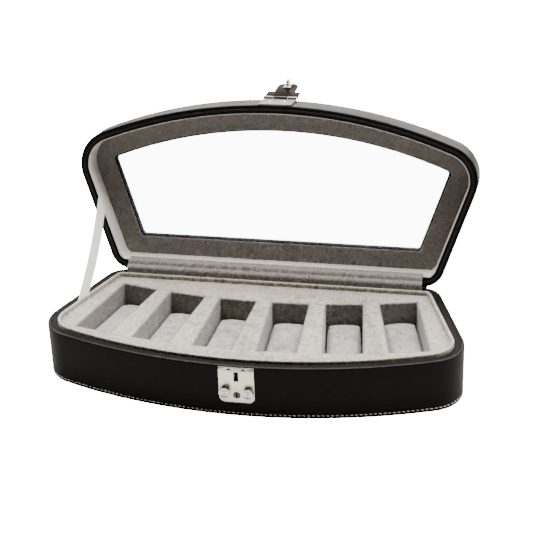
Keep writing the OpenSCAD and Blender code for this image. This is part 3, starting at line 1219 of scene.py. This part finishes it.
@dataclass
class Cushions:
    """Six loose watch cushions: suede sewn over soft stuffing."""

    finishes: Finishes
    base: Base
    gap: float = 0.5
    shrink: float = 1.7
    swell: float = 5.0
    voxel: float = 4.0
    round_end: float = 12.0
    seam_in: float = 2.2
    seam_wide: float = 0.8
    seam_deep: float = 0.5
    arch: float = 9.0
    camber: float = 2.4

    def build(self) -> None:
        """Stuffs one cushion, and puts a copy of it in each well."""
        source = self.stuffed()
        for number in range(1, self.base.wells + 1):
            cushion = source.copy()
            cushion.data = source.data.copy()
            bpy.context.scene.collection.objects.link(cushion)
            pick(cushion)
            named(f"cushion_pad_{number}")
            if number % 2 == 0:
                settle(cushion, Matrix.Rotation(math.pi, 4, "Z"))
            settle(cushion, self.base.well_place(number))
            node = f"cushion_{number}"
            dress(cushion, self.finishes.cushion, Slot.CUSHION, node, node)
        bpy.data.objects.remove(source)

    def stuffed(self) -> bpy.types.Object:
        """Sews and stuffs one cushion at the origin.

        Returns:
            The cushion.
        """
        low, high = (corner.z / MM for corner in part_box("cushion_3"))
        half_w = self.base.well_w / 2 - self.gap
        half_l = self.base.well_len / 2 - 1.0
        deselect_all()
        bpy.ops.mesh.primitive_cube_add(size=1.0, location=(0, 0, (low + high) / 2 * MM))
        pad = named("cushion_source")
        pad.scale = (
            2 * (half_w - self.shrink) * MM,
            2 * (half_l - self.shrink) * MM,
            (high - low - 2 * self.shrink) * MM,
        )
        bpy.ops.object.transform_apply(location=True, rotation=False, scale=True)
        self._bevel(pad, lambda a, b: a.z > 0.02 and b.z > 0.02 and a.y * b.y > 0, self.round_end - 3)
        self._bevel(pad, lambda a, b: True, 2.4)
        remesh = pad.modifiers.new("voxels", "REMESH")
        remesh.mode = "VOXEL"
        remesh.voxel_size = self.voxel * MM
        bpy.ops.object.modifier_apply(modifier=remesh.name)
        self._inflate(pad)
        finer = pad.modifiers.new("finer", "SUBSURF")
        finer.levels = finer.render_levels = 2
        pick(pad)
        bpy.ops.object.modifier_apply(modifier=finer.name)
        self._fit(pad, half_w, half_l, low, high)
        close_up(pad, smooth=180)
        return pad

    @staticmethod
    def _bevel(
        pad: bpy.types.Object, wanted: Callable[[Vector, Vector], bool], width: float
    ) -> None:
        """Rounds some of the pad's edges.

        Args:
            pad: The pad.
            wanted: Tells from an edge's two ends whether it is rounded.
            width: Width of the rounding in mm.
        """
        pick(pad)
        bpy.ops.object.mode_set(mode="EDIT")
        bpy.ops.mesh.select_all(action="DESELECT")
        mesh = bmesh.from_edit_mesh(pad.data)
        for edge in mesh.edges:
            a, b = (point.co for point in edge.verts)
            if wanted(a, b) and len(edge.link_faces) == 2 and edge.calc_face_angle(0) > 0.3:
                edge.select_set(True)
        bmesh.update_edit_mesh(pad.data)
        bpy.ops.mesh.bevel(offset=width * MM, segments=5, affect="EDGES")
        bpy.ops.object.mode_set(mode="OBJECT")

    def _inflate(self, pad: bpy.types.Object) -> None:
        """Fills the cover with stuffing by cloth simulation, then keeps the result.

        Args:
            pad: The sewn cover.
        """
        rest = [point.co.copy() for point in pad.data.vertices]
        cloth = pad.modifiers.new("stuffing", "CLOTH")
        cloth.settings.use_pressure = True
        cloth.settings.uniform_pressure_force = 4.0
        cloth.settings.effector_weights.gravity = 0.0
        cloth.settings.quality = 6
        cloth.point_cache.frame_start = 1
        cloth.point_cache.frame_end = 20
        for number in range(1, 21):
            bpy.context.scene.frame_set(number)
        bpy.context.view_layer.update()
        bpy.ops.object.modifier_apply(modifier=cloth.name)
        bpy.context.scene.frame_set(1)
        for point, before in zip(pad.data.vertices, rest):
            moved = point.co - before
            if moved.length > self.swell * MM:
                point.co = before + moved.normalized() * self.swell * MM

    def _fit(
        self, pad: bpy.types.Object, half_w: float, half_l: float, low: float, high: float
    ) -> None:
        """Presses the pad flat where it rests on the well, and sews its two long seams.

        Args:
            pad: The stuffed pad.
            half_w: Half the width that it may take, in mm.
            half_l: Half the length that it may take, in mm.
            low: Height of the well's floor, in mm.
            high: Height of the middle of its top, in mm.
        """
        seam = half_w - self.seam_in
        for point in pad.data.vertices:
            p = point.co / MM
            wobble = noise.noise(p / 14.0)
            out = abs(p.x)
            if p.z > low + 8:
                dip = self.seam_deep * math.exp(-(((out - seam) / self.seam_wide) ** 2))
                p.z += 0.25 * wobble - dip
            p.x = math.copysign(min(out, half_w - 0.15 + 0.1 * wobble), p.x)
            p.y = max(-half_l, min(half_l, p.y))
            crown = self.arch * abs(p.y / half_l) ** 2.6 + self.camber * abs(p.x / half_w) ** 2.4
            p.z = max(low, min(high + 0.8 - crown, p.z))
            point.co = p * MM


# ---- pieces that join the two halves ---------------------------------------------------------


@dataclass
class Hinge:
    """What joins the lid to the base: leather spine, suede gusset and satin stay."""

    finishes: Finishes
    spine_t: float = 1.2
    spine_down: float = 30.0
    spine_up: float = 26.0
    flap_t: float = 1.4
    flap_anchors: tuple[Pair, ...] = ((-10.4, -0.2), (-10.9, 8.0), (-4.0, 12.6), (5.5, 10.9))
    fold: float = 0.7
    ribbon_w: float = 16.0
    ribbon_reach: float = 67.0
    ribbon_inset: float = 8.75
    ribbon_slack: float = 2.0
    line: Vector = field(init=False)
    opening: float = field(init=False)

    def __post_init__(self) -> None:
        """Reads the hinge line from the joint."""
        self.line = Vector(HINGE["pos_m"]) / MM
        self.opening = math.radians(-min(HINGE["range_deg"]))

    def build(self) -> None:
        """Makes and dresses the three pieces."""
        self.make_spine()
        self.make_gusset()
        self.make_ribbon()

    def lid_point(self, y: float, z: float) -> Pair:
        """A point from the hinge line on the closed lid, turned to the open lid."""
        c, s = math.cos(self.opening), math.sin(self.opening)
        return y * c + z * s, -y * s + z * c

    def strip(
        self, name: str, half: float, line: list[Pair], thick: float, stations: int
    ) -> bpy.types.Object:
        """A band that is drawn out along X from its side view.

        Args:
            name: The new piece's name.
            half: Half its length.
            line: Middle of the band from the hinge line, as (y, z) in mm.
            thick: Its thickness.
            stations: Number of rings along its length.

        Returns:
            The band, with rounded edges.
        """
        points = [Vector(p) for p in line]
        sides: tuple[list[Vector], list[Vector]] = ([], [])
        for k, p in enumerate(points):
            along = (points[min(k + 1, len(points) - 1)] - points[max(k - 1, 0)]).normalized()
            normal = Vector((-along.y, along.x)) * thick / 2
            sides[0].append(p + normal)
            sides[1].append(p - normal)
        start, end = points[0] - (points[1] - points[0]).normalized() * thick * 0.3, points[-1]
        end = end + (points[-1] - points[-2]).normalized() * thick * 0.3
        section = [start, *sides[0], end, *reversed(sides[1])]
        rings = []
        for k in range(stations + 1):
            x = half - 2 * half * k / stations
            rings.append(
                [Vector((x, self.line.y + p.x, self.line.z + p.y)) * MM for p in section]
            )
        return loft(name, rings, closed=False)

    def make_spine(self) -> None:
        """The leather that wraps the back of the box and of the lid."""
        t = self.spine_t / 2 + 0.05
        low = [(t, -self.spine_down * (1 - k / 10)) for k in range(10)]
        high = [self.lid_point(t, self.spine_up * k / 10) for k in range(1, 11)]
        turn = [
            self._between((t, -0.6), self.lid_point(t, 0.6), k / 8) for k in range(9)
        ]
        half = (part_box("leather_spine")[1].x) / MM
        spine = self.strip("leather_spine_wrap", half, low + turn + high, self.spine_t, 24)
        dress(spine, self.finishes.leather, Slot.LEATHER, None, "leather_spine")
        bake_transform(spine)

    @staticmethod
    def _between(a: Pair, b: Pair, share: float) -> Pair:
        """A point on a soft bend from a to b that bulges a little outwards."""
        bulge = 0.35 * math.sin(math.pi * share)
        return a[0] + (b[0] - a[0]) * share + bulge, a[1] + (b[1] - a[1]) * share

    def make_gusset(self) -> None:
        """The suede gusset between the collar and the lid's lining."""
        anchors, line = self.flap_anchors, []
        for k in range(41):
            t = k / 40
            weights = ((1 - t) ** 3, 3 * t * (1 - t) ** 2, 3 * t * t * (1 - t), t**3)
            p = [sum(w * anchor[axis] for w, anchor in zip(weights, anchors)) for axis in (0, 1)]
            fold = self.fold * math.sin(math.pi * t) * math.sin(5 * math.pi * t)
            line.append((p[0] + fold, p[1] - fold))
        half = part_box("hinge_flap")[1].x
        gusset = self.strip("suede_gusset", half / MM, line, self.flap_t, 60)
        for point in gusset.data.vertices:
            wave = noise.noise(Vector((point.co.x * 9, point.co.z * 60, 0.3)))
            point.co.y += 0.5 * MM * wave
        # The lid suede's colour is partly painted shade.
        dress(gusset, self.finishes.lid_suede, Slot.SUEDE, None, "hinge_flap")
        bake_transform(gusset)

    def make_ribbon(self) -> None:
        """The satin stay: a flat taut band whose edges run straight from rim to rim."""
        rear, front = self.ribbon_reach - self.ribbon_w / 2, self.ribbon_reach + self.ribbon_w / 2
        ends = []
        for reach in (front, rear):
            x = -(PLAN.back_w / 2 + reach * math.tan(PLAN.splay))
            x += self.ribbon_inset / math.cos(PLAN.splay)
            top = self.lid_point(-reach, 0.9)
            ends.append(
                (
                    Vector((x, self.line.y - reach, self.line.z + 0.1)),
                    Vector((x, self.line.y + top[0], self.line.z + top[1])),
                )
            )
        stations, across = 40, 6
        rings = []
        for k in range(stations + 1):
            t = k / stations
            edge = [a.lerp(b, t) for a, b in ends]
            slack = Vector((self.ribbon_slack * math.sin(math.pi * t), 0, 0))
            near, far = [], []
            for j in range(across + 1):
                p = edge[0].lerp(edge[1], j / across) + slack
                thick = 0.19 if j in (0, across) else 0.13
                near.append(p + Vector((0.25 - thick, 0, 0)))
                far.append(p + Vector((0.25 + thick, 0, 0)))
            rings.append([p * MM for p in near + far[::-1]])
        ribbon = loft("satin_stay", rings, closed=False)
        self._note_places(ribbon, ends)
        dress(ribbon, self.finishes.satin, Slot.RIBBON, None, "ribbon_stay")
        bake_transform(ribbon)

    @staticmethod
    def _flat_width(ends: list[tuple[Vector, Vector]]) -> float:
        """Distance between the band's two parallel edges.

        Args:
            ends: Lower and upper end of the band's front and rear edge, in mm.

        Returns:
            The width in mm.
        """
        (a, b), (c, _) = ends
        along = (b - a).normalized()
        return ((c - a) - along * (c - a).dot(along)).length

    def _note_places(self, ribbon: bpy.types.Object, ends: list[tuple[Vector, Vector]]) -> None:
        """Keeps each point's place on the flat band, along and across it, for the weave.

        Args:
            ribbon: The band.
            ends: Lower and upper end of its front and rear edge, in mm.
        """
        (a, b), _ = ends
        along = (b - a).normalized()
        noted = ribbon.data.attributes.new("cloth_place", "FLOAT_VECTOR", "POINT")
        for k, point in enumerate(ribbon.data.vertices):
            p = point.co / MM - a
            run = p.dot(along)
            noted.data[k].vector = Vector((run, (p - along * run).length, 0)) * MM


# ---- the lid ---------------------------------------------------------------------------------


@dataclass
class Lid:
    """The glazed lid. It is made closed, then turned open."""

    finishes: Finishes
    base_top: float
    height: float = 33.0
    gap: float = 1.0
    skin: float = 1.6
    frame_w: float = 7.4
    frame_back: float = 9.4
    lining_w: float = 1.2
    lining_back: float = 1.0
    face: float = 24.0
    lining_t: float = 1.8
    glass_t: float = 3.0
    window: float = 28.0

    def build(self) -> None:
        """Makes and dresses every piece of the lid."""
        self.make_skin()
        self.make_ridge()
        self.make_stitches()
        self.make_side_lining()
        self.make_lining_frame()
        self.make_binding()
        repaint("glass_pane", self.finishes.glass)
        repaint("lid_frame", self.finishes.board)
        for node in ("lid_top_board", "glass_spacer"):
            repaint(node, self.finishes.black_board)

    def z(self, up: float) -> float:
        """Height of a point of the closed lid, from its distance above the base's rim."""
        return self.base_top + up

    def make_skin(self) -> None:
        """The leather skin, from the window's edge over the wall and round the rim."""
        gap, top = self.gap, self.height
        crease = top - 3.4
        outer = rounded(
            [
                (self.frame_w, gap, 0.3),
                (3.4, gap, 0.3),
                (3.0, gap + 0.35, 0.2),
                (2.6, gap, 0.3),
                (0.0, gap, 1.5),
                (0.0, crease - 0.7, 0.3),
                (0.22, crease - 0.2, 0.3),
                (0.22, crease + 0.2, 0.3),
                (0.0, crease + 0.7, 0.3),
                (0.0, top, 2.0),
                (self.window + 2, top, 0.0),
            ]
        )[:-1]
        back = self.frame_back - self.frame_w
        rings = [
            PLAN.ring(a, self.z(b), min(self.frame_back, a + back) if a > 7 else 0.0)
            for a, b in outer
        ]
        edge = self.window + 2
        for inset, up in ((-0.9, 0.0), (-0.35, -0.12), (-0.08, -0.4), (0.0, -0.9), (0.0, -self.skin)):
            rings.append(PLAN.window(edge + inset, self.z(top + up)))
        rings.append(PLAN.ring(self.skin, self.z(top - self.skin)))
        rings.append(PLAN.ring(self.skin, self.z(gap + self.skin)))
        rings.append(PLAN.ring(self.frame_w, self.z(gap + self.skin), self.frame_back))
        skin = on_lid(loft("lid_skin", rings))
        dress(skin, self.finishes.leather, Slot.LEATHER, "lid", "lid_leather")

    def make_ridge(self) -> None:
        """The fine ridge along the lid's rim."""
        profile = rounded(
            [
                (3.5, self.z(self.gap + 0.1), 0.2),
                (3.5, self.z(self.gap - 0.45), 0.5),
                (5.3, self.z(self.gap - 0.45), 0.5),
                (5.3, self.z(self.gap + 0.1), 0.2),
            ],
            5,
        )
        ridge = on_lid(loft("rim_ridge", [PLAN.ring(a, z) for a, z in profile]))
        dress(ridge, self.finishes.edge_leather, Slot.LEATHER, "lid", "lid_welt")

    def make_stitches(self) -> None:
        """The row of stitches near the lid's top edge."""
        row = Stitching().row("lid_stitches", PLAN.outline(0.05), self.z(self.height - 3.4))
        dress(on_lid(row), self.finishes.thread, Slot.LEATHER, "lid")

    def make_side_lining(self) -> None:
        """The suede on the inside of the lid's walls, with its edge turned over the rim."""
        low, high = self.z(self.gap + 0.2), self.z(self.face)
        profile = rounded(
            [(0.0, high, 0.0), (0.0, low, 0.5), (1.0, low, 0.6), (1.0, high, 0.0)], 5
        )
        rings = []
        for share, z in profile:
            inset = self.frame_w + share * self.lining_w
            rings.append(PLAN.ring(inset, z, self.frame_back + share * self.lining_back))
        lining = on_lid(loft("lid_wall_lining", rings))
        # The lighter wall suede paints the side light on these walls.
        dress(lining, self.finishes.wall_suede_painted_light, Slot.LID_SUEDE, "lid", "lid_side_lining")

    def make_lining_frame(self) -> None:
        """The padded suede frame round the window, rolled over its inner edge."""
        low, high = self.z(self.face), self.z(self.face + self.lining_t)
        outer, back = self.frame_w + 0.1, self.frame_back + 0.1
        rings = [PLAN.ring(outer, high, back), PLAN.ring(outer, low, back)]
        rings.append(PLAN.ring(outer + self.lining_w + 0.6, low, back + self.lining_back + 0.6))
        rings.append(PLAN.ring(outer + 4.5, low - 0.25, back + 4.5))
        for step in range(7):
            a = math.radians(15 * step)
            rings.append(
                PLAN.window(self.window - 1.1 + 1.1 * math.sin(a), low - 0.25 + 1.1 * (1 - math.cos(a)))
            )
        rings.append(PLAN.window(self.window, high))
        lining = on_lid(loft("lid_face_lining", rings))
        # The lid suede's colour is partly painted shade.
        dress(lining, self.finishes.lid_suede, Slot.LID_SUEDE, "lid", "lid_lining_frame")

    def make_binding(self) -> None:
        """The black edge behind the glass, between the lining and the leather."""
        low, high = self.z(self.face + self.lining_t + self.glass_t), self.z(self.height - self.skin)
        profile = rounded(
            [
                (self.window + 0.4, low + 0.02, 0.0),
                (self.window + 2, low + 0.02, 0.4),
                (self.window + 2, high, 0.0),
                (self.window + 0.4, high, 0.0),
            ]
        )
        binding = on_lid(loft("window_edge", [PLAN.window(a, z) for a, z in profile]))
        dress(binding, self.finishes.leather, Slot.LEATHER, "lid", "window_binding")


# ---- the lock --------------------------------------------------------------------------------


@dataclass
class Lock:
    """The lock plate with its studs and key cylinder, and the hasp on the lid."""

    finishes: Finishes
    stud_r: float = 5.2
    stud_out: float = 3.7

    def build(self) -> None:
        """Makes and dresses the metal pieces."""
        f = self.finishes
        # The key barrel and the hasp get near-black metal as painted shade.
        for node, name, width, finish, body in (
            ("lock_plate", "lock_face", 0.22, f.nickel, "base"),
            ("key_cylinder", "key_barrel", 0.12, f.barrel_painted_shade, "key_cylinder"),
            ("hasp_leaf", "leaf_plate", 0.2, f.worn_nickel, "lid"),
            ("hasp", "hasp_plate", 0.25, f.nickel_painted_shade, "hasp"),
            ("striker", "striker_hook", 0.16, f.nickel, "hasp"),
        ):
            dress(softened(node, name, width), finish, Slot.NICKEL, body, node)
        for side in Side:
            self.make_stud(side)
        # The lock case and the latch jaws get near-black metal as painted shade in the lock's slots.
        for node, finish in (
            ("lock_case", f.nickel_painted_shade),
            ("latch_jaw_left", f.barrel_painted_shade),
            ("latch_jaw_right", f.barrel_painted_shade),
            ("hasp_pin", f.nickel),
            ("leaf_rivets", f.bright),
            ("striker_rivets", f.bright),
        ):
            repaint(node, finish)

    def make_stud(self, side: Side) -> None:
        """One round thumb stud, with a raised rim and a dimple in its face.

        Args:
            side: The side that it is on.
        """
        node = f"thumb_stud_{side.name.lower()}"
        low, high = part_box(node)
        centre = Vector(((low.x + high.x) / 2, high.y, (low.z + high.z) / 2)) / MM
        far = (high.y - low.y) / MM
        r, back = self.stud_r, far - self.stud_out
        profile = [(1.9, 0.0), (1.9, back), (r - 0.35, back), (r, back + 0.35)]
        profile += [(r, far - 0.5), (r - 0.15, far - 0.15), (r - 0.5, far), (r - 1.1, far)]
        profile += [(r - 1.5, far - 0.35), (r - 1.8, far - 0.5), (2.5, far - 0.62), (2.2, far - 0.35)]
        profile += [(1.7, far - 0.35), (1.4, far - 0.62), (0.8, far - 0.85), (0.1, far - 0.95)]
        stud = turned(f"stud_{side.name.lower()}", centre, profile)
        body = f"latch_{side.name.lower()}"
        dress(stud, self.finishes.bright, Slot.NICKEL, body, node)


# ---- studio ----------------------------------------------------------------------------------


@dataclass(frozen=True)
class Studio:
    """Pale floor, soft lights and the camera. Angles are in degrees, places in metres."""

    eye: tuple[float, float, float] = (0.2589, -1.1129, 0.6843)
    yaw: float = 12.50
    pitch: float = -26.84
    roll: float = -2.21
    lens: float = 95.3
    floor_grey: float = 0.46
    floor_glow: float = 24.0

    def build(self) -> None:
        """Sets up the camera, the floor and the lights."""
        self.make_camera()
        self.make_floor()
        self.make_world()
        self.add_light("top_light", (0.0, 0.48, 1.5), (0.0, 0.05, 0.0), (1.5, 1.2), 92.0)
        self.add_light("back_light", (0.0, 2.6, 0.52), (0.0, 0.1, 0.2), (3.0, 0.6), 42.0)
        self.add_light("left_light", (-1.5, 0.4, 1.2), (0.0, 0.0, 0.05), (0.9, 0.9), 30.0)
        self.add_light("right_light", (1.5, 0.4, 1.2), (0.0, 0.0, 0.05), (0.9, 0.9), 44.0)

    def make_camera(self) -> None:
        """The camera, turned by yaw, pitch and roll."""
        yaw, pitch, roll = (math.radians(a) for a in (self.yaw, self.pitch, self.roll))
        ahead = Vector(
            (-math.sin(yaw) * math.cos(pitch), math.cos(yaw) * math.cos(pitch), math.sin(pitch))
        )
        right = Vector((math.cos(yaw), math.sin(yaw), 0))
        up = right.cross(ahead)
        x = math.cos(roll) * right + math.sin(roll) * up
        y = -math.sin(roll) * right + math.cos(roll) * up
        data = bpy.data.cameras.new("camera")
        data.lens = self.lens
        data.sensor_width = 36.0
        data.clip_start, data.clip_end = 0.05, 50.0
        camera = bpy.data.objects.new("camera", data)
        bpy.context.scene.collection.objects.link(camera)
        turn = Matrix((x, y, -ahead)).transposed().to_4x4()
        camera.matrix_world = Matrix.Translation(self.eye) @ turn
        bpy.context.scene.camera = camera

    def make_floor(self) -> None:
        """A plain pale floor that is a little bright by itself."""
        deselect_all()
        bpy.ops.mesh.primitive_plane_add(size=24.0, location=(0, 0, 0))
        floor = named("studio_floor")
        material, t, shader, _ = start_material("pale_floor")
        shader.inputs["Base Color"].default_value = (*(self.floor_grey,) * 3, 1)
        shader.inputs["Roughness"].default_value = 0.9
        shader.inputs["Specular IOR Level"].default_value = 0.1
        path = t.add("LightPath").outputs
        bounced = t.sum("ADD", path["Diffuse Depth"], path["Glossy Depth"])
        seen = t.sum("MAXIMUM", path["Is Camera Ray"], path["Is Transmission Ray"])
        seen = t.sum("MULTIPLY", seen, t.sum("LESS_THAN", bounced, 0.5))
        strength = t.sum("MULTIPLY", seen, self.floor_glow)
        glow = t.add("Emission", {"Color": (1, 1, 1, 1), "Strength": strength})
        both = t.add("AddShader", {0: shader.outputs[0], 1: glow.outputs[0]})
        t.tree.links.new(both.outputs[0], material.node_tree.nodes["Material Output"].inputs[0])
        floor.data.materials.append(material)

    def make_world(self) -> None:
        """Soft light from all round, brighter from above and behind."""
        world = bpy.data.worlds.new("studio")
        bpy.context.scene.world = world
        world.use_nodes = True
        t = Tree(world.node_tree)
        where = t.add("SeparateXYZ", {0: t.add("TexCoord").outputs["Generated"]}).outputs
        high = t.add("MapRange", {0: where[2], 1: 0.72, 2: 0.98, 3: 0.04, 4: 1.0}).outputs[0]
        behind = t.add("MapRange", {0: where[1], 1: -0.1, 2: 0.7, 3: 0.0, 4: 2.2}).outputs[0]
        low = t.add("MapRange", {0: where[2], 1: 0.12, 2: 0.38, 3: 1.0, 4: 0.08}).outputs[0]
        back = world.node_tree.nodes["Background"]
        glow = t.sum("ADD", high, t.sum("MULTIPLY", behind, low))
        t.tree.links.new(glow, back.inputs["Strength"])

    @staticmethod
    def add_light(name: str, at: tuple, aim: tuple, size: Pair, power: float) -> None:
        """Adds a soft rectangular light.

        Args:
            name: Its name.
            at: Where it hangs, in metres.
            aim: The point that it looks at.
            size: Its width and height, in metres.
            power: Its power in watts.
        """
        data = bpy.data.lights.new(name, "AREA")
        data.shape = "RECTANGLE"
        data.size, data.size_y = size
        data.energy = power
        light = bpy.data.objects.new(name, data)
        light.visible_camera = False
        bpy.context.scene.collection.objects.link(light)
        turn = (Vector(aim) - Vector(at)).to_track_quat("-Z", "Y")
        light.matrix_world = Matrix.Translation(at) @ turn.to_matrix().to_4x4()


def main() -> None:
    """Builds the box piece by piece."""
    logging.basicConfig(level=logging.INFO, format="%(name)s %(message)s")
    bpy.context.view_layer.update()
    Studio().build()
    finishes = Finishes()
    base = Base(finishes)
    base.build()
    Cushions(finishes, base).build()
    Hinge(finishes).build()
    Lid(finishes, base.top).build()
    Lock(finishes).build()


if __name__ == "__main__":
    main()
